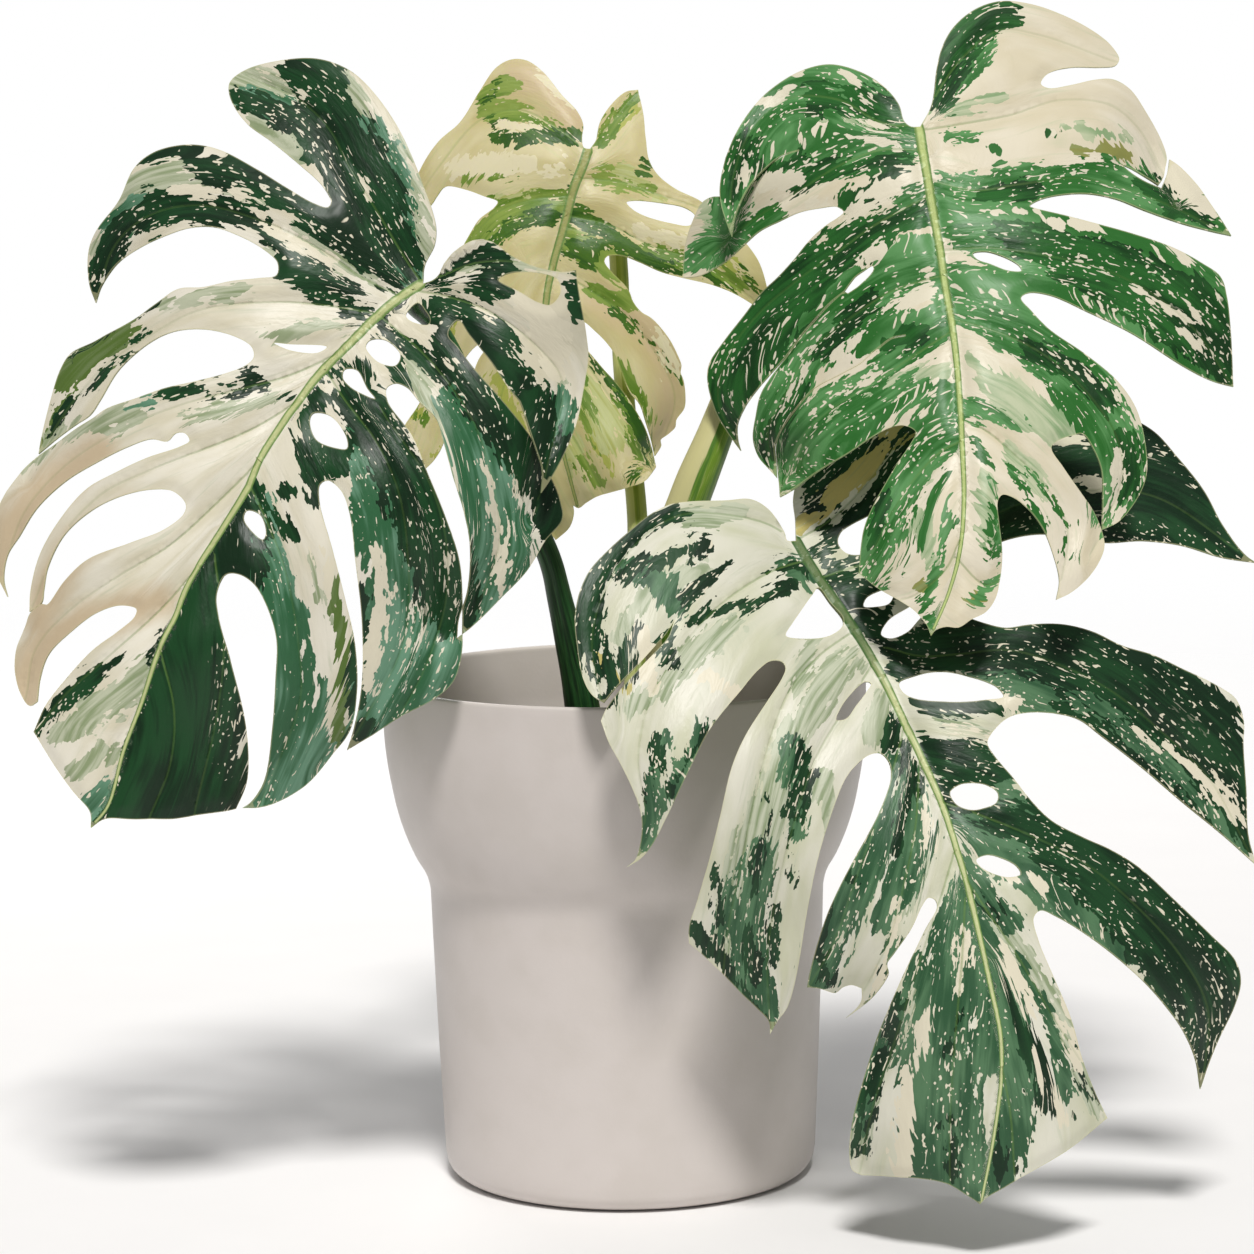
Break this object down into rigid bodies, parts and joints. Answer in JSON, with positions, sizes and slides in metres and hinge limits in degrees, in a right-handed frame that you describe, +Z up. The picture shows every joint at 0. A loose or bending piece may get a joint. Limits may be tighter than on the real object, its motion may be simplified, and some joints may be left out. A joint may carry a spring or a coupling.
{
  "type": "potted variegated monstera",
  "caption": "Potted variegated monstera borsigiana: a white two-step round pot of soil with cut, marbled green and cream leaves on bent stalks.",
  "frame": {"origin": "middle of the pot's underside, on the surface it stands on", "axes": "+Z up along the pot's axis, -Y toward the side that the leaves face, +X to the right of that front view"},
  "size_m": [0.4866, 0.2681, 0.4613],
  "materials": {
    "pot_ceramic": "satin",
    "potting_soil": "rough",
    "stem_bark": "matt",
    "petiole_green": "satin",
    "petiole_pale": "satin",
    "blade_dark": "satin",
    "blade_pale": "satin"
  },
  "bodies": {
    "root": {"pot": "pot_ceramic", "soil": "potting_soil", "stem": "stem_bark", "petiole_a": "petiole_green", "petiole_b": "petiole_pale", "petiole_c": "petiole_pale", "petiole_d": "petiole_green", "leaf_a": "blade_dark", "leaf_b": "blade_pale", "leaf_c": "blade_dark", "leaf_d": "blade_dark"}
  },
  "joints": []
}
